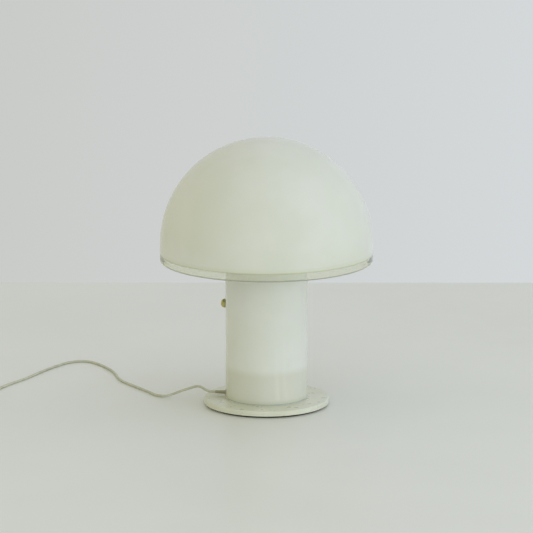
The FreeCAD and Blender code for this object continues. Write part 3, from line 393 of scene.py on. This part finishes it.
def knob_surface():
    """Satin brass, turned on a lathe about the X axis, in patches of slightly different tone."""
    surface = Surface("knob_satin_brass", 0.34, 1.0)
    patches = surface.ramp(surface.noise(5 * MM, 5.0), [(0.35, BRASS_DARK), (0.6, BRASS)])
    surface.colour(patches)
    surface.gloss(surface.noise(1.2 * MM, 4.0, (0.15, 1.0, 1.0)), 0.26, 0.42)
    surface.bump(surface.waves(0.22 * MM, "X"), 0.006 * MM, 0.8)
    surface.bump(surface.noise(0.4 * MM, 2.0), 0.008 * MM, 0.5)
    return surface.material


def felt_surface():
    surface = Surface("dark_pressed_felt", 0.95)
    surface.set("Sheen Weight", 0.25)
    surface.colour(surface.ramp(surface.noise(1.2 * MM, 6.0), [(0.35, FELT), (0.7, FELT_LIGHT)]))
    surface.bump(surface.noise(0.7 * MM, 5.0), 0.4 * MM, 0.9)
    return surface.material


def silicone_surface():
    surface = Surface("clear_silicone", 0.4)
    surface.set("Subsurface Weight", 0.5)
    surface.set("Subsurface Scale", 2 * MM)
    surface.colour(surface.ramp(surface.noise(6 * MM, 3.0), [(0.3, shade(214, 214, 204)), (0.7, SILICONE)]))
    surface.gloss(surface.noise(3 * MM, 2.0), 0.34, 0.5)
    surface.bump(surface.noise(0.9 * MM, 2.0), 0.03 * MM, 0.5)
    return surface.material


def bulb_surface():
    surface = Surface("bulb_frosted_glass", 0.45)
    surface.set("Subsurface Weight", 0.4)
    surface.set("Subsurface Scale", 2 * MM)
    surface.colour(surface.ramp(surface.noise(25 * MM, 3.0), [(0.3, BULB_GREY), (0.7, BULB_WHITE)]))
    surface.bump(surface.noise(0.5 * MM, 2.0), 0.02 * MM, 0.4)
    return surface.material


# ---- turned pieces ----
SIDES = 256
ON_AXIS = 1e-6
CORNER_ANGLE = math.radians(40.0)


def arc(middle, radius, start, end, steps):
    """Points on a circle in the (radius, height) half plane, angles in degrees."""
    points = []
    for index in range(steps + 1):
        angle = math.radians(start + (end - start) * index / steps)
        points.append((middle[0] + radius * math.cos(angle), middle[1] + radius * math.sin(angle)))
    return points


def revolve(name, profile, closed=True):
    """Turns a (radius, height) outline about the lamp's axis. A point on the axis stays one point."""
    vertices = []
    rings = []
    for radius, height in profile:
        if radius < ON_AXIS:
            rings.append([len(vertices)] * SIDES)
            vertices.append((0.0, 0.0, height))
            continue
        rings.append(list(range(len(vertices), len(vertices) + SIDES)))
        for side in range(SIDES):
            angle = 2 * math.pi * side / SIDES
            vertices.append((radius * math.cos(angle), radius * math.sin(angle), height))
    faces = []
    pairs = list(zip(rings, rings[1:] + rings[:1])) if closed else list(zip(rings, rings[1:]))
    for lower, upper in pairs:
        for side in range(SIDES):
            after = (side + 1) % SIDES
            corners = [lower[side], lower[after], upper[after], upper[side]]
            face = list(dict.fromkeys(corners))
            if len(face) > 2:
                faces.append(face)
    mesh = bpy.data.meshes.new(name)
    mesh.from_pydata(vertices, [], faces)
    mesh.validate()
    mesh.shade_smooth()
    mesh.set_sharp_from_angle(angle=CORNER_ANGLE)
    piece = bpy.data.objects.new(name, mesh)
    bpy.context.scene.collection.objects.link(piece)
    return piece


# ---- the shade: an opal dome whose lowest band is clear ----
GLASS_WALL = 0.004
SKIRT_HEIGHT = 0.0272  # from the rim up to where the dome begins to close
BEAD_RADIUS = 0.0026
CLEAR_BAND = 0.0127
CLEAR_GAP = 0.00005  # keeps the two glasses from sharing a face
OPAL_EDGE_ROUNDING = 0.0002
OLIVE_BAND = 0.8 * MM  # the opal's edge is olive up to here above the clear band
OLIVE_FADE = 2.2 * MM
GLASS_FADE = 9 * MM  # from here on the opal has its full colour
DOME_STEPS = 64
BEAD_STEPS = 16
EDGE_STEPS = 4


def make_shade():
    low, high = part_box("glass_shade")
    outer = (high.x - low.x) / 2
    inner = outer - GLASS_WALL
    spring = low.z + SKIRT_HEIGHT
    band_top = low.z + CLEAR_BAND
    edge = OPAL_EDGE_ROUNDING
    dome_profile = [
        *arc((0.0, spring), inner, 90, 0, DOME_STEPS),
        *arc((inner + edge, band_top + edge), edge, 180, 270, EDGE_STEPS),
        *arc((outer - edge, band_top + edge), edge, 270, 360, EDGE_STEPS),
        *arc((0.0, spring), outer, 0, 90, DOME_STEPS),
    ]
    dome = revolve("opal_dome", dome_profile, closed=False)
    dome_glass = opal("opal_glass_dome", [
        (band_top, OLIVE_EDGE),
        (band_top + OLIVE_BAND, OLIVE_EDGE),
        (band_top + OLIVE_FADE, DOME_OPAL_DEEP),
        (band_top + GLASS_FADE, DOME_OPAL),
        (high.z, DOME_OPAL),
    ])
    dome.data.materials.append(dome_glass.material)

    bead = (outer - BEAD_RADIUS, low.z + BEAD_RADIUS)
    rim_top = band_top - CLEAR_GAP
    rim_profile = [
        (inner, rim_top),
        (inner, bead[1] + 2 * BEAD_RADIUS),
        *arc(bead, BEAD_RADIUS, 180, 360, BEAD_STEPS),
        (outer, rim_top),
    ]
    rim = revolve("clear_rim", rim_profile)
    rim.data.materials.append(clear_glass_surface())

    for piece in (dome, rim):
        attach(piece, "shade")
        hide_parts("glass_shade")


# ---- finishes of the other pieces ----
PAINTED_CUP_SHADE_HEIGHT = 0.0635  # painted shade: the middle of the soft darker step where the inner cup keeps light from shining through the glass
PAINTED_CUP_SHADE_BLUR = 0.0075  # how far that painted shade step spreads, up and down
PAINTED_CUP_SHADE = (0.90, 0.89, 0.84, 1.0)  # painted shade: how much of the glass's brightness is left below the cup's rim, all the way round
THREAD_PITCH = 1 * MM
BULB_THREAD_PITCH = 3.62 * MM


def stem_surface():
    """Opal glass with painted shade: darker below where the cup inside stops light from shining through,
    the same all the way round, and painted contact shade at its foot.
    """
    low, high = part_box("glass_stem")
    surface = opal("opal_glass_stem", [
        # painted contact shade at the foot, fading into the glass's own colour above
        (low.z, PAINTED_FOOT_SHADE),
        (low.z + 2 * MM, PAINTED_FOOT_SHADE_FADE),
        (low.z + GLASS_FADE, STEM_OPAL),
        (high.z, STEM_OPAL),
    ])
    # painted shade: the glass is darker below the cup's rim, where the cup keeps light from shining through
    painted_cup_shade_mask = surface.ramp(
        surface.axis("Z"),
        [
            (PAINTED_CUP_SHADE_HEIGHT - PAINTED_CUP_SHADE_BLUR, (1.0, 1.0, 1.0, 1.0)),
            (PAINTED_CUP_SHADE_HEIGHT + PAINTED_CUP_SHADE_BLUR, (0.0, 0.0, 0.0, 1.0)),
        ],
        low.z,
        high.z,
    )
    surface.colour(surface.blend(surface.base, PAINTED_CUP_SHADE, painted_cup_shade_mask, "MULTIPLY"))
    return surface.material


def dress():
    cream = enamel_surface("cream_enamel", CREAM_ENAMEL, CREAM_ENAMEL_DEEP)
    inner = enamel_surface("inner_enamel", INNER_ENAMEL, shade(204, 202, 192), 0.38)
    wire = enamel_surface("white_wire_enamel", WIRE_ENAMEL, shade(222, 222, 217))
    silicone = silicone_surface()
    thermoset = plastic_surface("thermoset", THERMOSET, 0.35)
    zinc = metal_surface("zinc_plated_steel", ZINC, shade(160, 163, 166), 0.38)
    threaded = metal_surface(
        "threaded_zinc_steel", ZINC, shade(150, 153, 157), 0.38, THREAD_PITCH, "Z", 0.35 * MM
    )
    contact = metal_surface("contact_brass_plain", CONTACT_BRASS, shade(176, 142, 84), 0.3)
    nickel = metal_surface("nickel_plated_pins", NICKEL, shade(178, 172, 158), 0.22)
    steel = metal_surface("screw_steel_plain", STEEL, shade(120, 121, 124), 0.35)
    aluminium = metal_surface(
        "rolled_aluminium", ALUMINIUM, shade(180, 181, 184), 0.3, BULB_THREAD_PITCH, "Z", 0.8 * MM
    )
    brass = knob_surface()
    pvc = pvc_surface("cord_pvc_moulded", CREAM_CORD, 1.2 * MM)
    insulation = pvc_surface("lead_insulation_white", WHITE_INSULATION, 1.2 * MM)
    nylon = plastic_surface("clamp_nylon", NYLON, 0.45)
    plug = plastic_surface("plug_moulded_cream", PLUG_CREAM, 0.36, 0.9 * MM)
    finishes = {
        "felt_pad": felt_surface(),
        "base_plate": cream,
        "base_cup": inner,
        "stem_cap": inner,
        "stem_gasket": silicone,
        "stem_top_gasket": silicone,
        "carrier_sleeves": silicone,
        "switch_gaskets": silicone,
        "glass_stem": stem_surface(),
        "center_tube": threaded,
        "tube_nuts": zinc,
        "tube_washers": zinc,
        "switch_shaft": zinc,
        "clamp_screws": zinc,
        "shade_carrier": wire,
        "holder_cap": thermoset,
        "holder_shell": thermoset,
        "holder_insert": plastic_surface("unglazed_ceramic", CERAMIC, 0.7, 0.4 * MM),
        "holder_screw_shell": contact,
        "holder_contact": contact,
        "terminal_screws": contact,
        "bulb_cap": aluminium,
        "bulb_glass": bulb_surface(),
        "switch_body": plastic_surface("switch_black_plastic", BLACK_PLASTIC, 0.45),
        "switch_bushing": brass,
        "switch_nut": brass,
        "switch_knob": brass,
        "knob_screw": steel,
        "cord_bush": pvc_surface("cord_bush_olive", BUSH_OLIVE, 1.2 * MM),
        "inner_cord": pvc,
        "cord_clamp": nylon,
        "terminal_block": nylon,
        "holder_lead": insulation,
        "switch_leads": insulation,
        "cord_tie": plastic_surface("tie_strap", WHITE_INSULATION, 0.4),
        "plug_body": plug,
        "pin_sleeves": plug,
        "plug_pins": nickel,
    }
    for name, material in finishes.items():
        mesh = nodes[name].data
        for index in range(len(mesh.materials)):
            mesh.materials[index] = material


# ---- floor, wall and light ----
FLOOR_LEFT_RIGHT = 4.0
FLOOR_FRONT = 5.0
FLOOR_BACK = 0.91  # where the floor ends against the wall
FLOOR_COLOUR = shade(243, 243, 235)
WALL_COLOURS = [  # by how far to the left or right one looks, from -1 to 1
    (-1.0, (0.55, 0.53, 0.36, 1.0)),
    (-0.22, (0.580, 0.592, 0.570, 1.0)),
    (-0.07, (0.655, 0.684, 0.696, 1.0)),
    (1.0, (0.72, 0.76, 0.84, 1.0)),
]


def make_floor():
    square_to_view = Matrix.Rotation(VIEW_TURN, 3, "Z")
    corners = [
        square_to_view @ Vector(corner)
        for corner in (
            (-FLOOR_LEFT_RIGHT, -FLOOR_FRONT, 0.0),
            (FLOOR_LEFT_RIGHT, -FLOOR_FRONT, 0.0),
            (FLOOR_LEFT_RIGHT, FLOOR_BACK, 0.0),
            (-FLOOR_LEFT_RIGHT, FLOOR_BACK, 0.0),
        )
    ]
    mesh = bpy.data.meshes.new("floor")
    mesh.from_pydata(corners, [], [(0, 1, 2, 3)])
    floor = bpy.data.objects.new("floor", mesh)
    bpy.context.scene.collection.objects.link(floor)
    surface = Surface("pale_floor", 0.35)
    darker = tuple(0.97 * channel for channel in FLOOR_COLOUR[:3]) + (1.0,)
    surface.colour(surface.ramp(surface.noise(0.4, 3.0), [(0.3, darker), (0.7, FLOOR_COLOUR)]))
    surface.gloss(surface.noise(0.05, 3.0), 0.3, 0.4)
    mesh.materials.append(surface.material)


def make_world():
    """A plain bright room, warmer on the left and cooler on the right."""
    world = bpy.data.worlds.new("room")
    world.use_nodes = True
    tree = world.node_tree
    place = tree.nodes.new("ShaderNodeTexCoord")
    parts = tree.nodes.new("ShaderNodeSeparateXYZ")
    tree.links.new(place.outputs["Generated"], parts.inputs["Vector"])
    sideways = tree.nodes.new("ShaderNodeMapRange")
    sideways.inputs["From Min"].default_value = -1.0
    tree.links.new(parts.outputs["X"], sideways.inputs["Value"])
    ramp = tree.nodes.new("ShaderNodeValToRGB")
    elements = ramp.color_ramp.elements
    while len(elements) < len(WALL_COLOURS):
        elements.new(0.5)
    for element, (side, colour) in zip(elements, WALL_COLOURS):
        element.position = (side + 1) / 2
        element.color = colour
    tree.links.new(sideways.outputs["Result"], ramp.inputs["Fac"])
    background = tree.nodes["Background"]
    tree.links.new(ramp.outputs["Color"], background.inputs["Color"])
    bpy.context.scene.world = world


def area_light(name, place, aim, size, power, colour):
    data = bpy.data.lights.new(name, "AREA")
    data.shape = "RECTANGLE"
    data.size, data.size_y = size
    data.energy = power
    data.color = colour
    light = bpy.data.objects.new(name, data)
    bpy.context.scene.collection.objects.link(light)
    light.location = place
    light.rotation_euler = (Vector(place) - Vector(aim)).to_track_quat("Z", "Y").to_euler()
    light.visible_camera = False
    return light


LAMP_MIDDLE = (0, 0, 0.2)
SOFT_LIGHTS = [  # name, place, size, power and colour; each aims at the lamp's middle
    ("key", (2.75, -1.75, 0.7), (2.4, 1.2), 18.5, (0.82, 0.92, 1.0)),
    ("fill", (-0.6, -3.6, 1.2), (2.4, 1.6), 8.0, (1.0, 0.98, 0.97)),
]
GLINT_TURNS = [math.radians(34.0), math.radians(54.5)]  # to the right of straight ahead
GLINT_LENGTH = 0.45
GLINT_WIDTH = 0.025
GLINT_START = 0.11  # from the lamp's axis
GLINT_HEIGHT = 2 * MM
GLINT_POWER = 0.0225
WHITE = (1.0, 1.0, 1.0)


def make_light():
    """Two soft lights, and two strips near the floor that show only as the window's glints in the glass."""
    for name, place, size, power, colour in SOFT_LIGHTS:
        light = area_light(name, place, LAMP_MIDDLE, size, power, colour)
        light.visible_glossy = False
    for turn in GLINT_TURNS:
        heading = Vector((math.sin(turn), -math.cos(turn), 0.0))
        middle = heading * (GLINT_START + GLINT_LENGTH / 2) + Vector((0, 0, GLINT_HEIGHT))
        below = middle - Vector((0, 0, 1))
        glint = area_light("window_glint", middle, below, (GLINT_WIDTH, GLINT_LENGTH), GLINT_POWER, WHITE)
        glint.rotation_euler = (0.0, math.pi, turn)
        glint.visible_diffuse = False


bpy.context.scene.view_settings.view_transform = "Standard"
make_camera()
make_cord()
make_shade()
dress()
make_floor()
make_world()
make_light()
